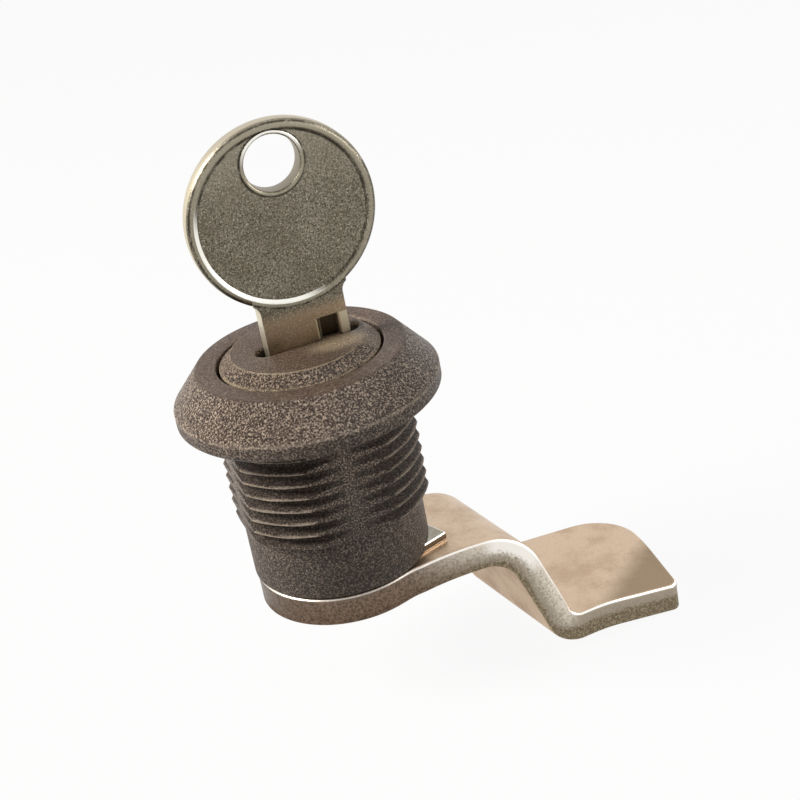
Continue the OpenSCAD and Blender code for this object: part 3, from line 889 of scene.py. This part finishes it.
# Low on the left the coined slope, and the top of the collar, get a painted highlight; painted shade lies in
# thin lines in the rim's inner corner, strongest on the upper right, round the collar and near the outer
# edge
leftward = 0.72
downward = 0.7
highlight_from = 3.5
highlight_full = 6.5
low_left = reckon(tree, "MULTIPLY_ADD", axes["X"], -leftward, both(tree, axes["Z"], -downward))
low_middle = -leftward * key_x - downward * bow_z
low_left = ramp(tree, low_left, (low_middle + highlight_from) * mm, (low_middle + highlight_full) * mm)
high_right = reckon(tree, "SUBTRACT", 1.0, low_left)
painted_highlight = both(tree, low_left, within(
    tree, from_bow, rim_inner + 0.02, rim_inner + coin_slope + 0.08, 0.06))
collar_top = ramp(tree, axes["Z"], ring_hole_z * mm, (ring_hole_z + 2.5) * mm)
collar_lit = within(tree, from_hole, ring_hole_r + 0.16, collar_r - 0.1, 0.06)
painted_highlight = either(tree, painted_highlight, both(tree, collar_lit, collar_top))
rim_top = within(tree, from_bow, rim_inner + coin_slope, bow_r - bow_edge + 0.3, 0.08)
rim_top = either(tree, rim_top, collar_lit)
corner = within(tree, from_bow, rim_inner - 0.08, rim_inner + 0.12, 0.08)
corner = both(tree, corner, reckon(tree, "MULTIPLY_ADD", high_right, 0.6, 0.4))
collar_corner = within(tree, from_hole, collar_r - 0.08, collar_r + 0.1, 0.08)
outer_line = within(tree, from_bow, bow_r - 0.3, bow_r - 0.2, 0.07)
painted_shade_lines = either(tree, corner, collar_corner, outer_line)
painted_shade_lines = both(tree, painted_shade_lines, ramp(tree, noise(tree, place, 700.0), 0.3, 0.6))
# Painted shade on the inner wall of the ring hole
hole_wall_shade = ramp(tree, from_hole, (ring_hole_r + 0.1) * mm, ring_hole_r * mm)

# The blade: painted shade down the milled groove, painted highlights on the groove's sloped wall and on the
# rib beside it, and darker in patches towards the plug
below_bow = ramp(tree, axes["Z"], (bow_z - bow_r + 0.4) * mm, (bow_z - bow_r - 1.2) * mm)
below_groove = ramp(tree, axes["Z"], (groove_top + 0.1) * mm, (groove_top - 0.1) * mm)
slope_x = key_x + groove_left + groove_slope
rib_x = key_x + groove_right
groove_shade = both(tree, below_groove, within(tree, axes["X"], slope_x, rib_x - 0.05, 0.08))
groove_wall_highlight = both(tree, below_groove, within(tree, axes["X"], key_x + groove_left - 0.12, slope_x, 0.05))
rib_highlight = both(tree, below_groove, ramp(tree, axes["X"], (rib_x + 0.1) * mm, (rib_x + 0.3) * mm))
darker_near_plug = both(tree, ramp(tree, axes["Z"], (face_z + 2.2) * mm, face_z * mm), marks["Stain"])

# Painted light: the bow is lighter towards its top
high = ramp(tree, axes["Z"], bow_z * mm, key_high.z * mm)
colour = coat(tree, tone("#938a7a"), (
    ("#464134", ramp(tree, mottle, 0.38, 0.62), 1.0),
    ("#544c3c", marks["Stain"], 0.5),
    ("#b0a795", high, 0.35),
    ("#ab9070", below_bow, 0.6),
    ("#c6bfad", marks["Specks"], 0.7),
    ("#b9b3a0", marks["Scratches"], 0.2),
    ("#a29a86", rim_top, 0.6),
    ("#3a2e23", darker_near_plug, 0.7),
    ("#dcd2b8", rib_highlight, 0.75),
))
# Painted light on the side walls: lighter where they face left or up, lightest below the bow
side_tone = coat(tree, tone("#9c927e"), (
    ("#d8ccb0", ramp(tree, turned["X"], 0.1, -0.6), 1.0),
    ("#c2b7a2", ramp(tree, turned["Z"], 0.5, 0.9), 1.0),
    ("#efe6d2", below_bow, 0.7),
))
# On top come painted shade on the hole's wall, down the groove and in thin lines, and painted highlights
colour = coat(tree, paint_over(tree, colour, side_tone, sheared), (
    ("#7d7466", hole_wall_shade, 0.8),
    ("#2c231a", groove_shade, 0.92),
    ("#c3b898", groove_wall_highlight, 0.8),
    ("#2b2721", painted_shade_lines, 0.8),
    ("#f6f3ea", painted_highlight, 1.0),
))
gloss = reckon(tree, "MULTIPLY_ADD", mottle, 0.3, 0.22)
gloss = reckon(tree, "SUBTRACT", gloss, both(tree, painted_highlight, 0.16))
finish_metal(tree, shader, colour, gloss, reckon(tree, "ADD", marks["Height"], mottle), 0.02, 0.6)
key.data.materials.append(nickel)
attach(key, "key")
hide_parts("key")

# Stop washer: disc blanked from bright steel strip, held on the plug's square. Its one square corner
# swings in the skirt's window and meets a stop at each end of the quarter turn.
stop_ease = 0.22
stop_washer = copy_of_node("stop_washer_plate", "stop_washer")
ease_edges(stop_washer, stop_ease, 3)
smooth(stop_washer)
stop_steel, tree, shader = new_material("stop_steel")
marks = place_effect(tree, handled_metal, {})
# Painted highlight on the rounded edges and painted shade on the upright sides; the flat faces keep the
# strip's tone
upright = reckon(tree, "ABSOLUTE", surface_facing(tree)["Z"])
eased = both(tree, ramp(tree, upright, 0.12, 0.35), ramp(tree, upright, 0.98, 0.9))
strip = coat(tree, tone("#b3ad9f"), (("#8d8779", marks["Stain"], 1.0), ("#cfc9bb", marks["Specks"], 0.5)))
colour = paint_over(tree, tone("#463e34"), strip, ramp(tree, upright, 0.1, 0.3))
colour = paint_over(tree, colour, tone("#fbf9f2"), eased)
gloss = reckon(tree, "MULTIPLY_ADD", marks["Stain"], 0.2, 0.2)
finish_metal(tree, shader, colour, gloss, marks["Height"], 0.012, 0.5)
stop_washer.data.materials.append(stop_steel)
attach(stop_washer, "plug")
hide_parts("stop_washer")

# Strike arm: blanked from thick steel strip, joggled in a press and plated. The die rolls its top
# edge over, the shear leaves a bright band and a torn band, and one corner is set down as a lead-in.
cam_low, cam_high = (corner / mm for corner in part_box("cam"))
arm_t = 3.3
arm_top = cam_high.z
arm_reach = cam_high.x
arm_head_r = -cam_low.x
near_waist = 7.9
far_waist = 6.5
near_blend = (2.5, 6.5)
far_blend = (5.2, 8.4)
waist_x = 11.5
waist_r = 26.0
bend_x = 14.0
bend_skew = math.radians(9.5)
bend_angle = math.radians(72)
upper_inner_r = 2.7
lower_inner_r = 1.2
upper_r = upper_inner_r + arm_t / 2
lower_r = lower_inner_r + arm_t / 2
joggle = 12.4
tip_plate_w = 18.8
tip_taper = math.radians(5)
trailing_r = 6.4
leading_r = 1.4
crease_back = 10.1
crease_angle = math.radians(42)
lead_in = math.radians(15.9)
crease_soft = 1.1
rolled_edge = 0.42
burr_edge = 0.12
square_w = 8.1
bend_step = 0.45
slope_step = 0.9
across_step = 0.8
uncut_start = 0.5
uncut_end = 0.3
before_bend = 1.0
tip_blend = 1.0

slope_len = (joggle - (upper_r + lower_r) * (1 - math.cos(bend_angle))) / math.sin(bend_angle)
lower_bend_x = bend_x + (upper_r + lower_r) * math.sin(bend_angle) + slope_len * math.cos(bend_angle)
middle_z = arm_top - arm_t / 2
slope_start = bend_x + upper_r * bend_angle
slope_end = slope_start + slope_len
tip_start = slope_end + lower_r * bend_angle
hinge = Vector((bend_x, -near_waist))
askew = Matrix.Rotation(bend_skew, 2)


def pressed(along, height):
    """Where the press puts a point of the flat blank, by its place along the strip and its height in it."""
    if along < bend_x:
        return along, middle_z + height
    if along < slope_end:
        turn = min(along - bend_x, upper_r * bend_angle) / upper_r
        run = max(0, along - slope_start)
        x = bend_x + (upper_r + height) * math.sin(turn) + run * math.cos(bend_angle)
        z = middle_z - upper_r + (upper_r + height) * math.cos(turn) - run * math.sin(bend_angle)
        return x, z
    turn = max(0, (tip_start - along) / lower_r)
    x = lower_bend_x - (lower_r - height) * math.sin(turn) + max(0, along - tip_start)
    return x, middle_z - joggle + lower_r - (lower_r - height) * math.cos(turn)


def unrolled(x):
    """Place along the flat blank of a point that the press leaves at x, half way through the strip."""
    slope_from = bend_x + upper_r * math.sin(bend_angle)
    slope_to = lower_bend_x - lower_r * math.sin(bend_angle)
    if x < bend_x:
        return x
    if x < slope_from:
        return bend_x + upper_r * math.asin((x - bend_x) / upper_r)
    if x < slope_to:
        return slope_start + (x - slope_from) / math.cos(bend_angle)
    if x < lower_bend_x:
        return tip_start - lower_r * math.asin((lower_bend_x - x) / lower_r)
    return tip_start + x - lower_bend_x


def arm_half(x, waist_half, blend):
    """Distance of one edge of the arm from its middle line, from the head to the tip's corner."""
    round_head = math.sqrt(max(0, arm_head_r ** 2 - x ** 2))
    waisted = waist_half + waist_r - math.sqrt(max(0, waist_r ** 2 - (x - waist_x) ** 2))
    share = share_between(x, *blend)
    half = round_head + (waisted - round_head) * share * share * (3 - 2 * share)
    return min(half, tip_plate_w / 2 - max(0, x - lower_bend_x) * math.tan(tip_taper))


def arm_side(waist_half, blend, corner_r):
    """One long side of the arm in plan, from the back of the head to the end of the tip."""
    head_end = math.acos(blend[0] / arm_head_r)
    head_steps = 40
    side_steps = 150
    corner_steps = 16
    head = [math.pi + (head_end - math.pi) * k / head_steps for k in range(head_steps)]
    side = [(arm_head_r * math.cos(a), arm_head_r * math.sin(a)) for a in head]
    corner_x = arm_reach - corner_r
    corner_y = (
        tip_plate_w / 2 - (corner_x - lower_bend_x) * math.tan(tip_taper) - corner_r / math.cos(tip_taper)
    )
    side_end = corner_x + corner_r * math.sin(tip_taper)
    for k in range(side_steps):
        x = blend[0] + (side_end - blend[0]) * k / side_steps
        side.append((x, arm_half(x, waist_half, blend)))
    for k in range(corner_steps + 1):
        a = (math.pi / 2 - tip_taper) * (1 - k / corner_steps)
        side.append((corner_x + corner_r * math.cos(a), corner_y + corner_r * math.sin(a)))
    return side


def flat_place(x, y):
    """Where a point of the finished plan lay in the flat blank, along and across its bends."""
    across = askew.inverted() @ (Vector((x, y)) - hinge)
    return unrolled(bend_x + across.x), across.y, -arm_t / 2


far_side = arm_side(far_waist, far_blend, trailing_r)
near_side = [(x, -y) for x, y in reversed(arm_side(near_waist, near_blend, leading_r)[1:])]
blank = [flat_place(x, y) for x, y in far_side + near_side]
cam = outline_piece("strike_arm", blank, filled=True)
edit(cam)
bpy.ops.mesh.extrude_region_move(TRANSFORM_OT_translate={"value": (0, 0, arm_t * mm)})
bpy.ops.mesh.select_all(action="SELECT")
bpy.ops.mesh.normals_make_consistent(inside=False)
for level, width, segments in ((1, rolled_edge, 4), (-1, burr_edge, 2)):
    select_edges(cam, lambda edge: all(abs(v.co.z / mm - level * arm_t / 2) < fine_weld for v in edge.verts))
    bpy.ops.mesh.bevel(offset=width * mm, segments=segments, affect="EDGES")
done()
hole_place = askew @ Vector((bend_x, 0)) - hinge
combine(cam, block((square_w, square_w, 2 * arm_t), (*hole_place, 0), -bend_skew), "DIFFERENCE")


def cut_across(place, normal):
    """Scores the edited piece right through along one plane, so that it can bend there."""
    bpy.ops.mesh.select_all(action="SELECT")
    bpy.ops.mesh.bisect(plane_co=Vector(place) * mm, plane_no=normal)


edit(cam)
score = bend_x - before_bend
while score < max(along for along, _, _ in blank) - uncut_end:
    cut_across((score, 0, 0), (1, 0, 0))
    in_slope = slope_start < score < slope_end - uncut_start
    score += slope_step if in_slope else bend_step
score = min(across for _, across, _ in blank) + uncut_start
while score < max(across for _, across, _ in blank) - uncut_end:
    cut_across((0, score, 0), (0, 1, 0))
    score += across_step
done()

# Where a point was in the flat blank decides its finish: rolled face, sheared edge or torn edge
arm_finish = {
    "along": [vertex.co.x / mm for vertex in cam.data.vertices],
    "depth": [0.5 - vertex.co.z / (arm_t * mm) for vertex in cam.data.vertices],
    "sheared": [share_between(abs(vertex.normal.z), 0.85, 0.5) for vertex in cam.data.vertices],
    "set_down": [],
}
crease_x = arm_reach - crease_back
crease_y = -(tip_plate_w / 2 - (crease_x - lower_bend_x) * math.tan(tip_taper))
crease_out = Vector((math.sin(crease_angle), -math.cos(crease_angle)))
for vertex in cam.data.vertices:
    along, across, height = vertex.co / mm
    x, z = pressed(along, height)
    plan = hinge + askew @ Vector((x - bend_x, across))
    past = (plan - Vector((crease_x, crease_y))).dot(crease_out)
    on_tip = share_between(along, slope_end, tip_start + tip_blend)
    bent = share_between(past, -crease_soft, crease_soft)
    drop = max(0, past - crease_soft) + bent * bent * crease_soft
    z -= drop * math.tan(lead_in) * on_tip
    arm_finish["set_down"].append(bent * on_tip)
    vertex.co = Vector((*plan, z)) * mm
paint_points(cam, arm_finish)
smooth(cam, 30)
flatten_faces(cam)

plated, tree, shader = new_material("plated_steel")
marks = place_effect(tree, handled_metal, {"Scratch": 300.0, "Speck": 5200.0})
along, depth, sheared, set_down = (
    painted_on(tree, name) for name in ("along", "depth", "sheared", "set_down")
)
place, _ = surface_place(tree)
cloudy = noise(tree, place, 230.0, 4.0, 0.6)
grit = noise(tree, place, 3600.0, 4.0, 0.75)
ragged = noise(tree, place, 900.0, 3.0, 0.7)
# Rolled face: cloudy tone, grit and specks, and painted shade on the set-down corner of the tip
rolled = coat(tree, tone("#d3bba1"), (
    ("#c0a68c", ramp(tree, cloudy, 0.4, 0.64), 1.0),
    ("#9c856e", ramp(tree, grit, 0.5, 0.66), 0.3),
    ("#e6d6c2", marks["Specks"], 0.4),
    ("#8f7b64", set_down, 0.85),
))
on_tip = ramp(tree, along, slope_end, tip_start)
gritty_depth = reckon(tree, "MULTIPLY_ADD", grit, 0.7, depth)
burnished = coat(tree, tone("#dbd1c2"), (
    ("#998e7d", ramp(tree, gritty_depth, 0.45, 1.15), 1.0),
    ("#8a7f6e", ramp(tree, grit, 0.48, 0.6), 0.5),
    ("#8b7e6b", on_tip, 0.75),
))
tear = coat(tree, tone("#9a8c74"), (
    ("#655947", ramp(tree, grit, 0.42, 0.56), 1.0),
    ("#cbbfa3", ramp(tree, grit, 0.57, 0.7), 1.0),
))
tear_starts = reckon(tree, "MULTIPLY_ADD", on_tip, -0.36, 0.84)
torn = reckon(tree, "SUBTRACT", reckon(tree, "MULTIPLY_ADD", ragged, 0.4, depth), tear_starts)
torn = ramp(tree, torn, 0.05, 0.25)
# The sheared edge is painted darker towards the head
head_edge_tone = coat(tree, tone("#776353"), (("#504136", ramp(tree, grit, 0.42, 0.6), 1.0),))
toward_head = both(tree, ramp(tree, along, 16.0, 3.0), 0.95)

# Painted highlights: a glint on the edge at the upper bend, and a line along the rolled top edge, brighter
# away from the head
at_bend = both(
    tree,
    ramp(tree, along, bend_x - 0.8, bend_x + 1.0),
    ramp(tree, along, slope_start + 1.5, slope_start - 0.8),
)
bend_glint = reckon(tree, "MULTIPLY_ADD", grit, 0.5, depth)
bend_glint = both(tree, at_bend, ramp(tree, bend_glint, 0.85, 0.6))
off_head = reckon(tree, "MULTIPLY_ADD", ramp(tree, along, 3.0, 12.0), 0.45, 0.5)
rolled_edge_highlight = both(tree, ramp(tree, depth, 0.012, 0.03), ramp(tree, depth, 0.09, 0.055), off_head)
edge_colour = paint_over(tree, burnished, tear, torn)
edge_colour = paint_over(tree, edge_colour, head_edge_tone, toward_head)
edge_colour = coat(tree, edge_colour, (("#f6f2ea", bend_glint, 0.9),))
colour = paint_over(tree, rolled, edge_colour, sheared)
colour = coat(tree, colour, (("#fbf8f2", rolled_edge_highlight, 0.92),))
gloss = reckon(tree, "MULTIPLY_ADD", torn, 0.25, 0.3)
gloss = reckon(tree, "MULTIPLY_ADD", cloudy, 0.15, gloss)
edge_height = both(tree, grit, sheared)
height = reckon(tree, "MULTIPLY_ADD", marks["Height"], 0.35, edge_height)
finish_metal(tree, shader, colour, gloss, height, 0.06, 0.5)
cam.data.materials.append(plated)
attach(cam, "plug")
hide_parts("cam")

# Fixing: a toothed washer and a button-head screw from below hold the arm on the plug's square.
# Both are bought in, zinc plated; the screw is driven by its hexagon socket.
washer_ease = 0.06
screw_ease = 0.15
fastener_steel = worked_metal("fastener_steel", "#a9a59a", "#85816f", "#e4e0d4", rough=0.3)
lock_washer = copy_of_node("lock_washer_toothed", "lock_washer")
ease_edges(lock_washer, washer_ease, 2)
cam_screw = copy_of_node("cam_screw_button", "cam_screw")
screw_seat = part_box("lock_washer")[0].z / mm
ease_edges(cam_screw, screw_ease, 3, lambda place: place.z < screw_seat + 0.1)
for piece, node in ((lock_washer, "lock_washer"), (cam_screw, "cam_screw")):
    smooth(piece)
    piece.data.materials.append(fastener_steel)
    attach(piece, "plug")
    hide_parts(node)

# Studio: a pale floor under the arm's tip, a soft lamp high on the left, a weaker one on the right
# and the camera where the photograph was taken.
floor_size = 6.0
floor_gap = 0.05
floor_whiteness = 0.93
room_light = 0.14
floor_z = min(corner.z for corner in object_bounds()) - floor_gap * mm
bpy.ops.object.select_all(action="DESELECT")
bpy.ops.mesh.primitive_plane_add(size=floor_size, location=(0, 0, floor_z))
floor = bpy.context.object
floor.name = "floor"
floor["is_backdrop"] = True


def shows_white(tree):
    """A mask of the rays that see the background itself: from the camera, in metal and through glass."""
    path = add_node(tree, "LightPath").outputs
    return either(tree, path["Is Camera Ray"], path["Is Glossy Ray"], path["Is Transmission Ray"])


def blend(tree, mask, first, second, end):
    """Mixes two shaders by a mask into the node that ends the tree."""
    mixed = add_node(tree, "MixShader")
    for socket, value in zip(mixed.inputs, (mask, first.outputs[0], second.outputs[0])):
        tree.links.new(value, socket)
    tree.links.new(mixed.outputs["Shader"], tree.nodes[end].inputs["Surface"])


pale = bpy.data.materials.new("floor_pale")
pale.use_nodes = True
tree = pale.node_tree
tree.nodes.remove(tree.nodes["Principled BSDF"])
matt = add_node(tree, "BsdfDiffuse", {"Color": (0.62, 0.62, 0.61, 1)})
white = add_node(tree, "Emission", {"Color": (1, 1, 1, 1), "Strength": 1.0})
blend(tree, both(tree, shows_white(tree), floor_whiteness), matt, white, "Material Output")
floor.data.materials.append(pale)

world = bpy.data.worlds.new("studio")
bpy.context.scene.world = world
world.use_nodes = True
tree = world.node_tree
room = tree.nodes["Background"]
room.inputs["Color"].default_value = (1.0, 0.99, 0.97, 1)
room.inputs["Strength"].default_value = room_light
backdrop = add_node(tree, "Background", {"Color": (1, 1, 1, 1), "Strength": 1.0})
blend(tree, shows_white(tree), room, backdrop, "World Output")

view_azimuth = math.radians(-16)
view_elevation = math.radians(25.976)
view_roll = math.radians(-10.845)
view_offset = Vector((9.713, -0.335, 192.71)) * mm
view_lens = 81.0
view_sensor = 36.0
facing = Matrix.Rotation(view_azimuth, 4, "Z")


def lamp(name, place, size, power, colour=(1, 1, 1)):
    """A square soft lamp aimed at the object, its place given as the camera sees it: right, away, up."""
    light = bpy.data.lights.new(name, "AREA")
    light.size = size
    light.energy = power
    light.color = colour
    fitting = bpy.data.objects.new(name, light)
    bpy.context.collection.objects.link(fitting)
    spot = facing @ Vector(place)
    fitting.matrix_world = Matrix.Translation(spot) @ (-spot).to_track_quat("-Z", "Y").to_matrix().to_4x4()


lamp("left_lamp", (-0.36, -0.07, 0.31), 0.18, 3.3, (1.0, 0.98, 0.95))
lamp("right_lamp", (0.42, 0.02, 0.16), 0.24, 1.05)

camera_data = bpy.data.cameras.new("camera")
camera_data.lens = view_lens
camera_data.sensor_width = view_sensor
camera_data.clip_start = 0.005
camera = bpy.data.objects.new("camera", camera_data)
bpy.context.collection.objects.link(camera)
camera.matrix_world = (
    facing
    @ Matrix.Rotation(math.pi / 2 - view_elevation, 4, "X")
    @ Matrix.Rotation(view_roll, 4, "Z")
    @ Matrix.Translation(view_offset)
)
bpy.context.scene.camera = camera
bpy.context.scene.view_settings.view_transform = "Standard"
